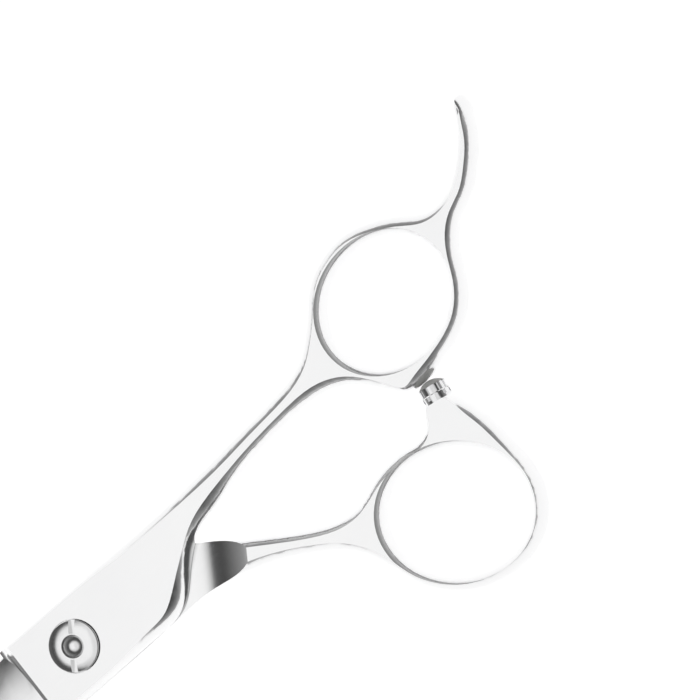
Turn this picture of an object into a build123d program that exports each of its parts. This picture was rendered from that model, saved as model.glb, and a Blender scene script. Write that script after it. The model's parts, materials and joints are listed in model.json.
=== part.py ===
"""Offset hair cutting shears, 6 inch class, closed on the bumper.

Frame, in millimetres: the pivot axis is Z through the origin, the shears lie on
Z = 0, the handles run along +X and the tips along -X, the finger side is +Y.
"""

import os
from math import asin, cos, hypot, pi, radians, sin, sqrt

from build123d import *

# ---- driving dimensions -------------------------------------------------
HANDLE_THICKNESS = 6.0
RIDE_GAP = 0.10
TIP_X = -71.0
SHOULDER_X = -9.3

# Ramps where each handle drops from full thickness to one layer
RAMP_TOP_OFFSET = 31.0
RAMP_LENGTH = 10.4
RAMP_ANGLE = 34.0

# Finger hole, at its narrow middle
FINGER_HOLE_CENTER = (76.4, 9.15)
FINGER_HOLE_RADII = (11.3, 9.6)
FINGER_HOLE_TURN = 7.0
# Thumb hole, at its narrow middle
THUMB_HOLE_CENTER = (64.1, -23.8)
THUMB_HOLE_RADII = (12.3, 10.2)
THUMB_HOLE_TURN = -30.0
HOLE_ROUNDING = 1.25

# Pivot stack
RUNNING_FIT = 0.03
HEAD_DIAMETER = 9.0
HEAD_THICKNESS = 0.9
HEAD_SINK = 0.05
HEAD_CLEARANCE = 0.05
NECK_WIDTH = 4.6
NECK_CORNER = 0.6
JOURNAL_DIAMETER = 4.0
STUD_DIAMETER = 3.1
STUD_TOP = 6.95
STUD_DOME = 0.5
BUSH_DIAMETER = 5.6
RIDE_WASHER_DIAMETER = 7.4
RIDE_WASHER_SINK = 0.35
COUNTERBORE_DEPTH = 1.25
COUNTERBORE_CLEARANCE = 0.12
THRUST_WASHER_DIAMETER = 8.2
THRUST_WASHER_THICKNESS = 0.30
SPRING_DIAMETER = 7.6
SPRING_THICKNESS = 0.20
SPRING_RISE = 0.25
NUT_DIAMETER = 8.6
NUT_RIM_HEIGHT = 0.60
NUT_CROWN_HEIGHT = 0.95
NUT_CROWN_DIAMETER = 4.4
NUT_RIM_CHAMFER = 0.15
NUT_SLOT_WIDTH = 1.05
NUT_SLOT_DEPTH = 0.55
NUT_SLOT_INNER_RADIUS = 2.1
NUT_SLOT_TURN = 54.0

# Bumper, on the post beside the thumb ring
BUMPER_SEAT = (72.77, -8.3)
BUMPER_TURN = 80.6
BUMPER_DIAMETER = 4.8
BUMPER_FLANGE_HEIGHT = 0.55
LOCK_RING_HEIGHT = 0.72
COLLAR_GAP = 0.15
COLLAR_HEIGHT = 1.28
PAD_DOME_HEIGHT = 1.0
PAD_CUP_DEPTH = 0.60
PAD_CUP_WALL = 0.20
KNURL_COUNT = 10
KNURL_WIDTH = 0.55
KNURL_DEPTH = 0.35
BUMPER_STUD_DIAMETER = 2.0
BUMPER_STUD_DEPTH = 3.0

# Blades
BLADE_EDGE = 0.12
BLADE_CROWN = 0.30
BLADE_SECTIONS = (
    # x, spine y, edge y, spine height
    (-8.0, -7.0, 7.0, 1.75),
    (-24.0, -6.8, 5.6, 1.65),
    (-42.0, -5.4, 3.6, 1.40),
    (-58.0, -3.3, 1.7, 1.05),
    (-68.5, -1.3, 0.5, 0.60),
    (TIP_X, -0.5, 0.1, 0.40),
)

MIDDLE = HANDLE_THICKNESS / 2
LOWER_FACE = MIDDLE - RIDE_GAP / 2
UPPER_FACE = MIDDLE + RIDE_GAP / 2

# Ridge outlines seen from above, anticlockwise: x, y and how far the flat
# faces lie inside the ridge there
FINGER_OUTLINE = (
    (-12.0, -7.45, 1.2),
    (2.0, -7.45, 1.2),
    (11.5, -7.35, 1.25),
    (15.5, -7.15, 1.5),
    (17.8, -6.5, 1.8),
    (19.8, -5.2, 1.8),
    (22.0, -3.1, 1.4),
    (24.2, -1.1, 1.0),
    (26.4, 0.45, 1.0),
    (29.4, 1.5, 1.5),
    (33.2, 2.25, 1.85),
    (38.0, 3.5, 1.5),
    (43.0, 4.4, 1.35),
    (48.0, 4.9, 1.35),
    (53.0, 5.15, 1.45),
    (57.5, 4.85, 1.7),
    (60.8, 4.0, 1.7),
    (63.4, 2.5, 1.6),
    (65.6, 0.4, 1.4),
    (67.4, -1.8, 1.2),
    (68.7, -3.4, 1.1),
    (70.0, -4.35, 1.1),
    (72.2, -4.55, 1.4),
    (75.2, -4.2, 1.6),
    (78.5, -3.4, 1.5),
    (81.7, -2.35, 1.4),
    (84.6, -0.85, 1.35),
    (87.0, 1.3, 1.3),
    (88.9, 4.0, 1.3),
    (90.3, 6.9, 1.3),
    (92.1, 9.6, 1.4),
    (94.7, 11.8, 1.4),
    (98.2, 13.5, 1.3),
    (101.6, 16.2, 1.3),
    (104.5, 19.4, 1.3),
    (106.4, 22.8, 1.3),
    (107.05, 25.2, 1.2),
    (106.5, 26.6, 1.1),
    (105.4, 26.2, 1.1),
    (104.1, 24.3, 1.2),
    (102.0, 21.3, 1.3),
    (99.4, 18.7, 1.3),
    (96.3, 16.6, 1.3),
    (93.2, 15.75, 1.5),
    (89.9, 16.2, 1.6),
    (86.8, 18.2, 1.6),
    (83.4, 20.1, 1.6),
    (79.9, 21.4, 1.5),
    (76.2, 21.9, 1.5),
    (72.6, 21.3, 1.5),
    (69.3, 20.1, 1.6),
    (66.5, 18.0, 1.7),
    (64.0, 15.4, 1.7),
    (61.7, 13.3, 1.7),
    (59.0, 11.4, 1.8),
    (55.6, 10.2, 1.9),
    (50.4, 9.45, 1.85),
    (44.0, 8.95, 1.85),
    (37.5, 8.4, 1.9),
    (31.0, 8.0, 1.75),
    (24.0, 7.7, 1.5),
    (15.0, 7.6, 1.3),
    (2.0, 7.65, 1.2),
    (-12.0, 7.65, 1.2),
)
THUMB_OUTLINE = (
    (-12.0, -7.45, 1.2),
    (2.0, -7.45, 1.2),
    (12.0, -7.35, 1.2),
    (18.0, -7.15, 1.2),
    (23.0, -7.3, 1.3),
    (28.0, -8.4, 1.4),
    (33.0, -9.9, 1.4),
    (37.8, -12.0, 1.4),
    (42.2, -14.5, 1.4),
    (45.8, -17.2, 1.4),
    (48.2, -20.4, 1.4),
    (49.9, -24.3, 1.4),
    (51.5, -28.3, 1.4),
    (53.9, -31.6, 1.4),
    (57.3, -34.4, 1.35),
    (61.2, -36.1, 1.3),
    (65.1, -36.8, 1.2),
    (69.0, -36.5, 1.15),
    (72.5, -35.2, 1.1),
    (75.3, -32.9, 1.05),
    (77.3, -29.8, 1.0),
    (78.3, -26.2, 1.0),
    (78.3, -22.4, 1.1),
    (78.0, -18.6, 1.25),
    (77.5, -15.0, 1.3),
    (76.6, -11.7, 1.2),
    (75.4, -8.9, 0.7),
    (73.8, -7.3, 0.7),
    (71.2, -7.2, 0.7),
    (69.7, -8.6, 0.9),
    (68.4, -10.1, 1.3),
    (66.4, -10.85, 1.5),
    (63.4, -10.55, 1.6),
    (59.8, -10.5, 1.6),
    (56.4, -11.1, 1.55),
    (53.4, -12.1, 1.5),
    (50.4, -12.6, 1.5),
    (47.4, -12.15, 1.5),
    (44.0, -10.8, 1.45),
    (40.0, -8.6, 1.45),
    (36.0, -6.15, 1.45),
    (32.0, -3.7, 1.4),
    (28.6, -1.5, 1.3),
    (25.6, 0.4, 1.3),
    (22.6, 2.6, 1.3),
    (19.6, 5.0, 1.3),
    (17.2, 6.7, 1.3),
    (14.2, 7.5, 1.3),
    (8.0, 7.65, 1.2),
    (-12.0, 7.65, 1.2),
)

# Heights of the sections that shape the rounded sides
SIDE_LEVELS = tuple(MIDDLE * (1 - cos(pi * i / 8)) for i in range(9))


def side_share(height):
    """How far inside the ridge a side lies at a height: 0 at the ridge, 1 at a flat."""
    return 1 - sqrt(1 - 0.78 * (height / MIDDLE - 1) ** 2)


FULL_SHARE = side_share(0)


def section_points(outline, height):
    """The outline moved inwards along its normals to its place at a height."""
    share = side_share(height) / FULL_SHARE
    points = []
    for i, (x, y, inset) in enumerate(outline):
        before = outline[i - 1]
        after = outline[(i + 1) % len(outline)]
        run = hypot(after[0] - before[0], after[1] - before[1])
        inward_x = -(after[1] - before[1]) / run
        inward_y = (after[0] - before[0]) / run
        points.append((x + share * inset * inward_x, y + share * inset * inward_y))
    return points


def handle_profile(outline, height):
    """One section of a handle: a curve round it, closed straight across the blade end."""
    points = section_points(outline[1:-1], height)
    first = (outline[0][0], points[0][1])
    last = (outline[-1][0], points[-1][1])
    along = (1, 0)
    back = (-1, 0)
    with BuildSketch(Plane.XY.offset(height)) as profile:
        with BuildLine():
            Line(first, points[0])
            Spline(points, tangents=(along, back))
            Line(points[-1], last)
            Line(last, first)
        make_face()
    return profile.sketch


def hole_profile(center, radii, turn, height):
    """One section of a finger or thumb hole, narrowest at mid height."""
    growth = HOLE_ROUNDING * side_share(height) / FULL_SHARE
    place = Plane.XY.offset(height) * Location((center[0], center[1], 0), (0, 0, turn))
    with BuildSketch(place) as profile:
        Ellipse(radii[0] + growth, radii[1] + growth)
    return profile.sketch


def ramp_plane(turn):
    """A plane standing across a ramp: its x runs up the handle, its y is +Z."""
    return Plane(
        origin=(0, 0, 0),
        x_dir=(cos(radians(turn)), sin(radians(turn)), 0),
        z_dir=(sin(radians(turn)), -cos(radians(turn)), 0),
    )


FAR = 120.0
RAMP_START = RAMP_TOP_OFFSET - RAMP_LENGTH
RAMP_RADIUS = (RAMP_LENGTH**2 + LOWER_FACE**2) / (2 * LOWER_FACE)
RAMP_MIDWAY = RAMP_START + RAMP_LENGTH / 2
RAMP_MIDWAY_RISE = RAMP_RADIUS - sqrt(RAMP_RADIUS**2 - (RAMP_LENGTH / 2) ** 2)


def layer_cutter(face, outside, turn):
    """Everything from the ride face outwards, ending in the scooped ramp."""
    side = 1 if outside > face else -1
    edge = MIDDLE + side * MIDDLE
    with BuildPart() as cutter:
        with BuildSketch(ramp_plane(turn)):
            with BuildLine():
                Line((-FAR, face), (RAMP_START, face))
                ThreePointArc(
                    (RAMP_START, face),
                    (RAMP_MIDWAY, face + side * RAMP_MIDWAY_RISE),
                    (RAMP_TOP_OFFSET, edge),
                )
                Line((RAMP_TOP_OFFSET, edge), (RAMP_TOP_OFFSET, outside))
                Line((RAMP_TOP_OFFSET, outside), (-FAR, outside))
                Line((-FAR, outside), (-FAR, face))
            make_face()
        extrude(amount=FAR, both=True)
    return cutter.part


SHOULDER_RUN = 0.9
SHOULDER_DROP = 0.9
COVE_RUN = 2.4
ABOVE = HANDLE_THICKNESS + 1.0


def shoulder_cutter():
    """The bevel and cove that end the flat pivot area where the upper blade starts."""
    bevel_x = SHOULDER_X - SHOULDER_RUN
    bevel_z = HANDLE_THICKNESS - SHOULDER_DROP
    cove_x = bevel_x - COVE_RUN
    with BuildPart() as cutter:
        with BuildSketch(Plane.XZ):
            with BuildLine():
                Line((SHOULDER_X, ABOVE), (SHOULDER_X, HANDLE_THICKNESS))
                Line((SHOULDER_X, HANDLE_THICKNESS), (bevel_x, bevel_z))
                ThreePointArc(
                    (bevel_x, bevel_z),
                    (bevel_x - COVE_RUN * 0.35, bevel_z - (bevel_z - UPPER_FACE) * 0.68),
                    (cove_x, UPPER_FACE),
                )
                Line((cove_x, UPPER_FACE), (-FAR, UPPER_FACE))
                Line((-FAR, UPPER_FACE), (-FAR, ABOVE))
                Line((-FAR, ABOVE), (SHOULDER_X, ABOVE))
            make_face()
        extrude(amount=FAR, both=True)
    return cutter.part


def blade_profile(x, spine, edge, height):
    """One section across the upper blade, from its thick spine to its cutting edge."""
    base = UPPER_FACE
    top = base + height
    middle = (spine + edge) / 2
    middle_top = base + (height + BLADE_EDGE) / 2 + BLADE_CROWN * height
    round_off = 0.25 * height
    across = Plane(origin=(x, 0, 0), x_dir=(0, 1, 0), z_dir=(1, 0, 0))
    with BuildSketch(across) as profile:
        with BuildLine():
            Line((spine, base), (edge, base))
            Line((edge, base), (edge, base + BLADE_EDGE))
            ThreePointArc(
                (edge, base + BLADE_EDGE), (middle, middle_top), (spine + round_off, top)
            )
            Line((spine + round_off, top), (spine, top - round_off))
            Line((spine, top - round_off), (spine, base))
        make_face()
    return profile.sketch


def half_turn_over(part):
    """The same shape turned over about the X axis through mid thickness."""
    return part.rotate(Axis((0, 0, MIDDLE), (1, 0, 0)), 180)


def dome_points(radius, base, height):
    """Rim, middle and apex of a spherical cap's profile."""
    sphere = (radius**2 + height**2) / (2 * height)
    half = asin(radius / sphere) / 2
    middle = (sphere * sin(half), base + height - sphere + sphere * cos(half))
    return (radius, base), middle, (0, base + height)


with BuildPart() as upper_blade:
    loft([blade_profile(*section) for section in BLADE_SECTIONS])

# ---- finger half: upper layer at the pivot, full thickness at the ring ----
NUT_POCKET = NUT_DIAMETER / 2 + COUNTERBORE_CLEARANCE
POCKET_FLOOR = HANDLE_THICKNESS - COUNTERBORE_DEPTH

with BuildPart() as finger_half:
    loft([handle_profile(FINGER_OUTLINE, z) for z in SIDE_LEVELS])
    add(layer_cutter(UPPER_FACE, -1.0, RAMP_ANGLE), mode=Mode.SUBTRACT)
    add(shoulder_cutter(), mode=Mode.SUBTRACT)
    add(upper_blade.part)
    with BuildPart(mode=Mode.SUBTRACT):
        loft(
            [
                hole_profile(FINGER_HOLE_CENTER, FINGER_HOLE_RADII, FINGER_HOLE_TURN, z)
                for z in SIDE_LEVELS
            ]
        )
    with BuildSketch(Plane.XY.offset(POCKET_FLOOR)):
        Circle(NUT_POCKET)
    extrude(amount=COUNTERBORE_DEPTH + 1, mode=Mode.SUBTRACT)
    with BuildSketch(Plane.XY.offset(MIDDLE)):
        Circle(BUSH_DIAMETER / 2)
    extrude(amount=HANDLE_THICKNESS, mode=Mode.SUBTRACT)

# ---- thumb half: lower layer at the pivot, carries the bolt and bumper ----
HEAD_POCKET_DEPTH = HEAD_SINK + HEAD_THICKNESS
RIDE_WASHER_FLOOR = LOWER_FACE - RIDE_WASHER_SINK
bumper_direction = (cos(radians(BUMPER_TURN)), sin(radians(BUMPER_TURN)), 0)
bumper_plane = Plane(
    origin=(BUMPER_SEAT[0], BUMPER_SEAT[1], MIDDLE),
    x_dir=(sin(radians(BUMPER_TURN)), -cos(radians(BUMPER_TURN)), 0),
    z_dir=bumper_direction,
)

with BuildPart() as thumb_half:
    loft([handle_profile(THUMB_OUTLINE, z) for z in SIDE_LEVELS])
    add(layer_cutter(LOWER_FACE, ABOVE, -RAMP_ANGLE), mode=Mode.SUBTRACT)
    add(half_turn_over(shoulder_cutter()), mode=Mode.SUBTRACT)
    add(half_turn_over(upper_blade.part))
    with BuildPart(mode=Mode.SUBTRACT):
        loft(
            [
                hole_profile(THUMB_HOLE_CENTER, THUMB_HOLE_RADII, THUMB_HOLE_TURN, z)
                for z in SIDE_LEVELS
            ]
        )
    with BuildSketch(Plane.XY):
        Circle(HEAD_DIAMETER / 2 + HEAD_CLEARANCE)
    extrude(amount=HEAD_POCKET_DEPTH, mode=Mode.SUBTRACT)
    with BuildSketch(Plane.XY):
        RectangleRounded(NECK_WIDTH, NECK_WIDTH, NECK_CORNER)
    extrude(amount=MIDDLE, mode=Mode.SUBTRACT)
    with BuildSketch(Plane.XY.offset(RIDE_WASHER_FLOOR)):
        Circle(RIDE_WASHER_DIAMETER / 2)
    extrude(amount=1, mode=Mode.SUBTRACT)
    with BuildSketch(bumper_plane):
        Rectangle(3 * BUMPER_DIAMETER, 3 * BUMPER_DIAMETER)
    extrude(amount=BUMPER_DIAMETER, mode=Mode.SUBTRACT)
    with BuildSketch(bumper_plane):
        Circle(BUMPER_STUD_DIAMETER / 2)
    extrude(amount=-BUMPER_STUD_DEPTH, mode=Mode.SUBTRACT)

# ---- pivot bolt: sunk head, square neck, journal, threaded end with a dome ----
JOURNAL_TOP = POCKET_FLOOR + THRUST_WASHER_THICKNESS

with BuildPart() as pivot_bolt:
    with BuildSketch(Plane.XY.offset(HEAD_SINK)):
        Circle(HEAD_DIAMETER / 2)
    extrude(amount=HEAD_THICKNESS)
    with BuildSketch(Plane.XY.offset(HEAD_POCKET_DEPTH)):
        RectangleRounded(NECK_WIDTH, NECK_WIDTH, NECK_CORNER)
    extrude(amount=RIDE_WASHER_FLOOR - HEAD_POCKET_DEPTH)
    with BuildSketch(Plane.XY.offset(RIDE_WASHER_FLOOR)):
        Circle(JOURNAL_DIAMETER / 2)
    extrude(amount=JOURNAL_TOP - RIDE_WASHER_FLOOR)
    with BuildSketch(Plane.XZ):
        with BuildLine():
            Line((0, JOURNAL_TOP), (STUD_DIAMETER / 2, JOURNAL_TOP))
            Line((STUD_DIAMETER / 2, JOURNAL_TOP), (STUD_DIAMETER / 2, STUD_TOP))
            ThreePointArc(*dome_points(STUD_DIAMETER / 2, STUD_TOP, STUD_DOME))
            Line((0, STUD_TOP + STUD_DOME), (0, JOURNAL_TOP))
        make_face()
    revolve(axis=Axis.Z)

with BuildPart() as ride_washer:
    with BuildSketch(Plane.XY.offset(RIDE_WASHER_FLOOR)):
        Circle(RIDE_WASHER_DIAMETER / 2)
        Circle(JOURNAL_DIAMETER / 2 + RUNNING_FIT, mode=Mode.SUBTRACT)
    extrude(amount=RIDE_WASHER_SINK + RIDE_GAP)

with BuildPart() as bearing_bush:
    with BuildSketch(Plane.XY.offset(UPPER_FACE)):
        Circle(BUSH_DIAMETER / 2)
        Circle(JOURNAL_DIAMETER / 2 + RUNNING_FIT, mode=Mode.SUBTRACT)
    extrude(amount=POCKET_FLOOR - UPPER_FACE)

with BuildPart() as thrust_washer:
    with BuildSketch(Plane.XY.offset(POCKET_FLOOR)):
        Circle(THRUST_WASHER_DIAMETER / 2)
        Circle(JOURNAL_DIAMETER / 2 + RUNNING_FIT, mode=Mode.SUBTRACT)
    extrude(amount=THRUST_WASHER_THICKNESS)

# ---- spring washer: a shallow cone between the thrust washer and the nut ----
SPRING_BASE = JOURNAL_TOP
NUT_BASE = SPRING_BASE + SPRING_THICKNESS + SPRING_RISE
SPRING_INNER = STUD_DIAMETER / 2 + COUNTERBORE_CLEARANCE

with BuildPart() as spring_washer:
    with BuildSketch(Plane.XZ):
        with BuildLine():
            Polyline(
                (SPRING_DIAMETER / 2, SPRING_BASE),
                (SPRING_DIAMETER / 2, SPRING_BASE + SPRING_THICKNESS),
                (SPRING_INNER, NUT_BASE),
                (SPRING_INNER, NUT_BASE - SPRING_THICKNESS),
                close=True,
            )
        make_face()
    revolve(axis=Axis.Z)

# ---- pivot nut: slotted ring nut, slightly crowned ----
NUT_RIM_TOP = HANDLE_THICKNESS + NUT_RIM_HEIGHT
NUT_CROWN_TOP = HANDLE_THICKNESS + NUT_CROWN_HEIGHT
NUT_BORE = STUD_DIAMETER / 2 + RUNNING_FIT

with BuildPart() as pivot_nut:
    with BuildSketch(Plane.XZ):
        with BuildLine():
            Polyline(
                (NUT_BORE, NUT_BASE),
                (NUT_DIAMETER / 2, NUT_BASE),
                (NUT_DIAMETER / 2, NUT_RIM_TOP - NUT_RIM_CHAMFER),
                (NUT_DIAMETER / 2 - NUT_RIM_CHAMFER, NUT_RIM_TOP),
            )
            ThreePointArc(
                (NUT_DIAMETER / 2 - NUT_RIM_CHAMFER, NUT_RIM_TOP),
                (
                    (NUT_DIAMETER + NUT_CROWN_DIAMETER) / 4,
                    (NUT_RIM_TOP + NUT_CROWN_TOP) / 2 + 0.08,
                ),
                (NUT_CROWN_DIAMETER / 2, NUT_CROWN_TOP),
            )
            Polyline(
                (NUT_CROWN_DIAMETER / 2, NUT_CROWN_TOP),
                (NUT_BORE + 0.35, NUT_CROWN_TOP),
                (NUT_BORE, NUT_CROWN_TOP - 0.25),
                (NUT_BORE, NUT_BASE),
            )
        make_face()
    revolve(axis=Axis.Z)
    slot_length = NUT_DIAMETER / 2
    slot_middle = NUT_SLOT_INNER_RADIUS + slot_length / 2
    with BuildSketch(Plane.XY.offset(NUT_RIM_TOP - NUT_SLOT_DEPTH)):
        with PolarLocations(slot_middle, 2, start_angle=NUT_SLOT_TURN):
            Rectangle(slot_length, NUT_SLOT_WIDTH)
    extrude(amount=2, mode=Mode.SUBTRACT)

# ---- bumper: stud with flange, lock ring, knurled collar, rubber pad ----
LOCK_BASE = BUMPER_FLANGE_HEIGHT
COLLAR_BASE = LOCK_BASE + LOCK_RING_HEIGHT + COLLAR_GAP
COLLAR_TOP = COLLAR_BASE + COLLAR_HEIGHT
PAD_BASE = COLLAR_TOP - PAD_CUP_DEPTH
PAD_PLUG_RADIUS = BUMPER_DIAMETER / 2 - KNURL_DEPTH - PAD_CUP_WALL
PAD_RIM_RADIUS = BUMPER_DIAMETER / 2 - 0.05
PAD_RIM = COLLAR_TOP + 0.02
STUD_END = PAD_BASE - COLLAR_GAP


def knurled_ring(base, height, bore, start_angle):
    """A ring with square notches round its rim."""
    with BuildPart() as ring:
        with BuildSketch(bumper_plane.offset(base)):
            Circle(BUMPER_DIAMETER / 2)
            Circle(bore, mode=Mode.SUBTRACT)
            with PolarLocations(BUMPER_DIAMETER / 2, KNURL_COUNT, start_angle=start_angle):
                Rectangle(2 * KNURL_DEPTH, KNURL_WIDTH, mode=Mode.SUBTRACT)
        extrude(amount=height)
    return ring.part


with BuildPart() as bumper_stud:
    with BuildSketch(bumper_plane.offset(-BUMPER_STUD_DEPTH)):
        Circle(BUMPER_STUD_DIAMETER / 2)
    extrude(amount=BUMPER_STUD_DEPTH + STUD_END)
    with BuildSketch(bumper_plane):
        Circle(BUMPER_DIAMETER / 2)
    extrude(amount=BUMPER_FLANGE_HEIGHT)

with BuildPart() as bumper_lock_ring:
    add(knurled_ring(LOCK_BASE, LOCK_RING_HEIGHT, BUMPER_STUD_DIAMETER / 2, 0))

with BuildPart() as bumper_collar:
    half_pitch = 180 / KNURL_COUNT
    add(
        knurled_ring(
            COLLAR_BASE, COLLAR_HEIGHT, BUMPER_STUD_DIAMETER / 2 + RUNNING_FIT, half_pitch
        )
    )
    with BuildSketch(bumper_plane.offset(PAD_BASE)):
        Circle(PAD_PLUG_RADIUS)
    extrude(amount=COLLAR_HEIGHT, mode=Mode.SUBTRACT)

with BuildPart() as bumper_pad:
    with BuildSketch(Plane.XZ):
        with BuildLine():
            Polyline(
                (0, PAD_BASE),
                (PAD_PLUG_RADIUS - RUNNING_FIT, PAD_BASE),
                (PAD_PLUG_RADIUS - RUNNING_FIT, PAD_RIM),
                (PAD_RIM_RADIUS, PAD_RIM),
            )
            ThreePointArc(*dome_points(PAD_RIM_RADIUS, PAD_RIM, PAD_DOME_HEIGHT))
            Line((0, PAD_RIM + PAD_DOME_HEIGHT), (0, PAD_BASE))
        make_face()
    revolve(axis=Axis.Z)
bumper_pad_placed = bumper_plane.location * bumper_pad.part

# ---- write every piece ---------------------------------------------------
finger_half.part.label = "finger_half"
thumb_half.part.label = "thumb_half"
pivot_bolt.part.label = "pivot_bolt"
pivot_nut.part.label = "pivot_nut"
spring_washer.part.label = "spring_washer"
thrust_washer.part.label = "thrust_washer"
bearing_bush.part.label = "bearing_bush"
ride_washer.part.label = "ride_washer"
bumper_stud.part.label = "bumper_stud"
bumper_lock_ring.part.label = "bumper_lock_ring"
bumper_collar.part.label = "bumper_collar"
bumper_pad_placed.label = "bumper_pad"

os.makedirs("parts", exist_ok=True)
export_step(finger_half.part, "parts/finger_half.step")
export_step(thumb_half.part, "parts/thumb_half.step")
export_step(pivot_bolt.part, "parts/pivot_bolt.step")
export_step(pivot_nut.part, "parts/pivot_nut.step")
export_step(spring_washer.part, "parts/spring_washer.step")
export_step(thrust_washer.part, "parts/thrust_washer.step")
export_step(bearing_bush.part, "parts/bearing_bush.step")
export_step(ride_washer.part, "parts/ride_washer.step")
export_step(bumper_stud.part, "parts/bumper_stud.step")
export_step(bumper_lock_ring.part, "parts/bumper_lock_ring.step")
export_step(bumper_collar.part, "parts/bumper_collar.step")
export_step(bumper_pad_placed, "parts/bumper_pad.step")
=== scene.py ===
import json
from math import cos, radians, sin

import bpy
from mathutils import Matrix, Vector

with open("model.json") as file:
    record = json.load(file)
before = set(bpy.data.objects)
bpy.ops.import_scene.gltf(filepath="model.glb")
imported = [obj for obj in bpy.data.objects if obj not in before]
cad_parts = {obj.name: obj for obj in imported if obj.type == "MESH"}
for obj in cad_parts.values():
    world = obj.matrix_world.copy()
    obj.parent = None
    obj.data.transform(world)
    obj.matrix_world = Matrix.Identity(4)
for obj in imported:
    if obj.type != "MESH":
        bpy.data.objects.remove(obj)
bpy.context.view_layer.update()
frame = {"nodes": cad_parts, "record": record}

# ---- camera: a long lens, tilted towards the thumb side ------------------
CAMERA_TILT = radians(19.3)
CAMERA_AZIMUTH = radians(-28.0)
CAMERA_ROLL = radians(41.1)
CAMERA_DISTANCE = 1.2
CAMERA_TARGET = Vector((0.06632, 0.00734, 0.003))
SENSOR_WIDTH = 36.0
FRAME_WIDTH = 0.1111
CLIP_END = 20.0


def make_camera():
    """A camera whose picture has the handles running up to the right."""
    towards = Vector(
        (
            sin(CAMERA_TILT) * cos(CAMERA_AZIMUTH),
            sin(CAMERA_TILT) * sin(CAMERA_AZIMUTH),
            cos(CAMERA_TILT),
        )
    )
    handles = Vector((1, 0, 0))
    handles = (handles - handles.dot(towards) * towards).normalized()
    right = cos(CAMERA_ROLL) * handles - sin(CAMERA_ROLL) * towards.cross(handles)
    up = towards.cross(right)
    data = bpy.data.cameras.new("camera")
    data.sensor_width = SENSOR_WIDTH
    data.lens = SENSOR_WIDTH * CAMERA_DISTANCE / FRAME_WIDTH
    data.clip_end = CLIP_END
    camera = bpy.data.objects.new("camera", data)
    turn = Matrix((right, up, towards)).transposed().to_4x4()
    camera.matrix_world = Matrix.Translation(CAMERA_TARGET + CAMERA_DISTANCE * towards) @ turn
    bpy.context.collection.objects.link(camera)
    bpy.context.scene.camera = camera


# ---- materials -----------------------------------------------------------
def new_material(name, color, metallic, roughness):
    """A material with its shader; detail is added by the functions below."""
    material = bpy.data.materials.new(name)
    material.use_nodes = True
    shader = material.node_tree.nodes["Principled BSDF"]
    shader.inputs["Base Color"].default_value = (*color, 1)
    shader.inputs["Metallic"].default_value = metallic
    shader.inputs["Roughness"].default_value = roughness
    return material


def add_grain(material, stretch, scale, rough_range, bump, distance):
    """Fine noise, stretched along the grain, in roughness and bump."""
    nodes = material.node_tree.nodes
    links = material.node_tree.links
    shader = nodes["Principled BSDF"]
    place = nodes.new("ShaderNodeTexCoord")
    mapping = nodes.new("ShaderNodeMapping")
    mapping.inputs["Scale"].default_value = stretch
    noise = nodes.new("ShaderNodeTexNoise")
    noise.inputs["Scale"].default_value = scale
    noise.inputs["Detail"].default_value = 4.0
    spread = nodes.new("ShaderNodeMapRange")
    spread.inputs["To Min"].default_value = rough_range[0]
    spread.inputs["To Max"].default_value = rough_range[1]
    height = nodes.new("ShaderNodeBump")
    height.inputs["Strength"].default_value = bump
    height.inputs["Distance"].default_value = distance
    links.new(place.outputs["Object"], mapping.inputs["Vector"])
    links.new(mapping.outputs["Vector"], noise.inputs["Vector"])
    links.new(noise.outputs["Fac"], spread.inputs["Value"])
    links.new(spread.outputs["Result"], shader.inputs["Roughness"])
    links.new(noise.outputs["Fac"], height.inputs["Height"])
    links.new(height.outputs["Normal"], shader.inputs["Normal"])


def add_tint(material, color_low, color_high, scale):
    """Slow colour variation between two close colours."""
    nodes = material.node_tree.nodes
    links = material.node_tree.links
    place = nodes.new("ShaderNodeTexCoord")
    noise = nodes.new("ShaderNodeTexNoise")
    noise.inputs["Scale"].default_value = scale
    ramp = nodes.new("ShaderNodeValToRGB")
    ramp.color_ramp.elements[0].color = (*color_low, 1)
    ramp.color_ramp.elements[1].color = (*color_high, 1)
    links.new(place.outputs["Object"], noise.inputs["Vector"])
    links.new(noise.outputs["Fac"], ramp.inputs["Fac"])
    links.new(ramp.outputs["Color"], nodes["Principled BSDF"].inputs["Base Color"])


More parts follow.
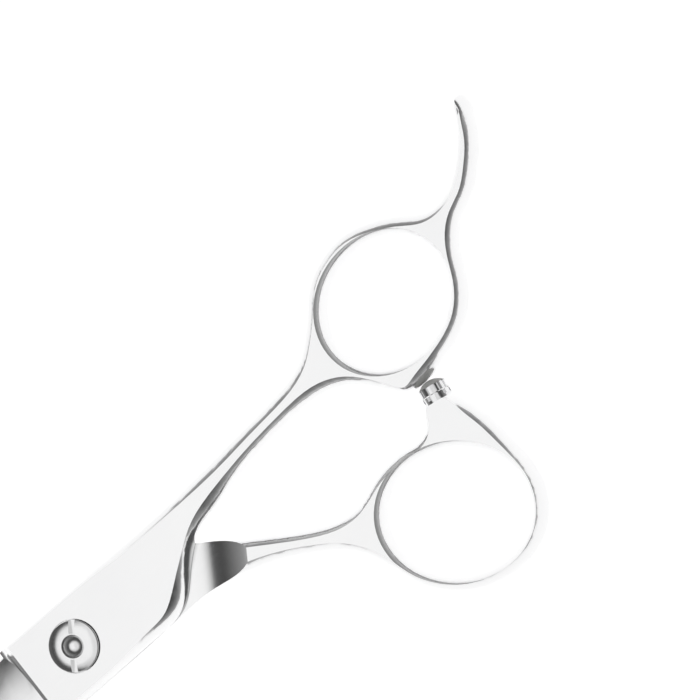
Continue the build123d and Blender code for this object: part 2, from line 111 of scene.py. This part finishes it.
def make_materials():
    """One procedural material for each kind of surface."""
    made = {}
    steel = new_material("polished_steel", (0.9, 0.9, 0.9), 1.0, 0.12)
    add_grain(steel, (300, 2500, 2500), 1.0, (0.10, 0.20), 0.04, 0.00002)
    add_tint(steel, (0.88, 0.88, 0.885), (0.93, 0.93, 0.93), 60.0)
    made["polished_steel"] = steel
    pivot = new_material("pivot_steel", (0.86, 0.86, 0.86), 1.0, 0.15)
    add_grain(pivot, (2500, 2500, 600), 1.0, (0.12, 0.24), 0.04, 0.00002)
    add_tint(pivot, (0.83, 0.83, 0.835), (0.9, 0.9, 0.9), 400.0)
    made["pivot_steel"] = pivot
    plated = new_material("plated_metal", (0.85, 0.85, 0.86), 1.0, 0.10)
    add_grain(plated, (3000, 3000, 3000), 1.0, (0.08, 0.18), 0.04, 0.00002)
    add_tint(plated, (0.8, 0.8, 0.81), (0.9, 0.9, 0.9), 600.0)
    made["plated_metal"] = plated
    nylon = new_material("nylon", (0.87, 0.86, 0.82), 0.0, 0.45)
    add_grain(nylon, (2000, 2000, 2000), 1.0, (0.4, 0.55), 0.1, 0.00003)
    add_tint(nylon, (0.84, 0.83, 0.79), (0.9, 0.89, 0.86), 300.0)
    made["nylon"] = nylon
    bronze = new_material("bronze", (0.7, 0.48, 0.28), 1.0, 0.35)
    add_grain(bronze, (1500, 1500, 1500), 1.0, (0.3, 0.45), 0.1, 0.00003)
    add_tint(bronze, (0.62, 0.42, 0.24), (0.76, 0.54, 0.32), 500.0)
    made["bronze"] = bronze
    rubber = new_material("bumper_rubber", (0.72, 0.72, 0.7), 0.0, 0.4)
    shader = rubber.node_tree.nodes["Principled BSDF"]
    shader.inputs["Subsurface Weight"].default_value = 0.3
    shader.inputs["Subsurface Radius"].default_value = (0.001, 0.001, 0.001)
    add_grain(rubber, (1500, 1500, 1500), 1.0, (0.35, 0.5), 0.15, 0.00004)
    add_tint(rubber, (0.68, 0.68, 0.66), (0.78, 0.78, 0.76), 500.0)
    made["bumper_rubber"] = rubber
    return made


def finish_nodes(made):
    """Every CAD node takes the material of its slot."""
    slots = {entry["node"]: entry["material_slot"] for entry in frame["record"]["subparts"]}
    for name, piece in frame["nodes"].items():
        piece.data.materials.clear()
        piece.data.materials.append(made[slots[name]])


# ---- stage ---------------------------------------------------------------
FLOOR_SIZE = 4.0
FLOOR_DROP = 0.0001
FLOOR_COLOR = (0.9, 0.9, 0.9)
FLOOR_GLOW = 0.7
FLOOR_ROUGHNESS = 0.9


def make_floor():
    """A plain pale floor that glows alike to the camera, in reflections and through glass."""
    mesh = bpy.data.meshes.new("floor")
    half = FLOOR_SIZE / 2
    corners = [(-half, -half, 0), (half, -half, 0), (half, half, 0), (-half, half, 0)]
    mesh.from_pydata(corners, [], [(0, 1, 2, 3)])
    floor = bpy.data.objects.new("floor", mesh)
    floor.location.z = -FLOOR_DROP
    bpy.context.collection.objects.link(floor)
    material = bpy.data.materials.new("floor")
    material.use_nodes = True
    nodes = material.node_tree.nodes
    links = material.node_tree.links
    shader = nodes["Principled BSDF"]
    shader.inputs["Base Color"].default_value = (*FLOOR_COLOR, 1)
    shader.inputs["Roughness"].default_value = FLOOR_ROUGHNESS
    path = nodes.new("ShaderNodeLightPath")
    reflected = nodes.new("ShaderNodeMath")
    reflected.operation = "MAXIMUM"
    links.new(path.outputs["Is Glossy Ray"], reflected.inputs[0])
    links.new(path.outputs["Is Transmission Ray"], reflected.inputs[1])
    seen = nodes.new("ShaderNodeMath")
    seen.operation = "MAXIMUM"
    links.new(path.outputs["Is Camera Ray"], seen.inputs[0])
    links.new(reflected.outputs["Value"], seen.inputs[1])
    strength = nodes.new("ShaderNodeMath")
    strength.operation = "MULTIPLY"
    strength.inputs[1].default_value = FLOOR_GLOW
    links.new(seen.outputs["Value"], strength.inputs[0])
    glow = nodes.new("ShaderNodeEmission")
    links.new(strength.outputs["Value"], glow.inputs["Strength"])
    both = nodes.new("ShaderNodeAddShader")
    links.new(shader.outputs["BSDF"], both.inputs[0])
    links.new(glow.outputs["Emission"], both.inputs[1])
    links.new(both.outputs["Shader"], nodes["Material Output"].inputs["Surface"])
    mesh.materials.append(material)


# ---- light ---------------------------------------------------------------
SKY_LEVELS = ((0.15, 0.30), (0.35, 0.20), (0.62, 0.06), (0.76, 0.08), (0.86, 0.75))
SKY_BELOW = 0.55
SKY_TOP_START = 0.93
SKY_TOP = 0.82
LAMP_PLACE = (-0.44, 0.23, 1.42)
LAMP_SIZE = 1.1
LAMP_POWER = 0.7


def make_area(name, place, size, power):
    """A soft square lamp that faces the shears."""
    data = bpy.data.lights.new(name, "AREA")
    data.shape = "SQUARE"
    data.size = size
    data.energy = power
    lamp = bpy.data.objects.new(name, data)
    lamp.location = CAMERA_TARGET + Vector(place)
    lamp.rotation_euler = Vector(place).to_track_quat("Z", "Y").to_euler()
    bpy.context.collection.objects.link(lamp)


def make_light():
    """A dome of light, pale above, dark towards its sides, with one soft lamp overhead."""
    world = bpy.data.worlds.new("studio")
    bpy.context.scene.world = world
    world.use_nodes = True
    nodes = world.node_tree.nodes
    links = world.node_tree.links
    place = nodes.new("ShaderNodeTexCoord")
    split = nodes.new("ShaderNodeSeparateXYZ")
    ramp = nodes.new("ShaderNodeValToRGB")
    ramp.color_ramp.elements[0].position = 0.0
    ramp.color_ramp.elements[0].color = (SKY_BELOW, SKY_BELOW, SKY_BELOW, 1)
    ramp.color_ramp.elements[1].position = SKY_TOP_START
    ramp.color_ramp.elements[1].color = (SKY_TOP, SKY_TOP, SKY_TOP, 1)
    for position, level in SKY_LEVELS:
        stop = ramp.color_ramp.elements.new(position)
        stop.color = (level, level, level, 1)
    links.new(place.outputs["Generated"], split.inputs["Vector"])
    links.new(split.outputs["Z"], ramp.inputs["Fac"])
    background = nodes["Background"]
    links.new(ramp.outputs["Color"], background.inputs["Color"])
    background.inputs["Strength"].default_value = 1.0
    make_area("overhead", LAMP_PLACE, LAMP_SIZE, LAMP_POWER)


bpy.context.scene.view_settings.view_transform = "Standard"
make_camera()
finish_nodes(make_materials())
make_floor()
make_light()
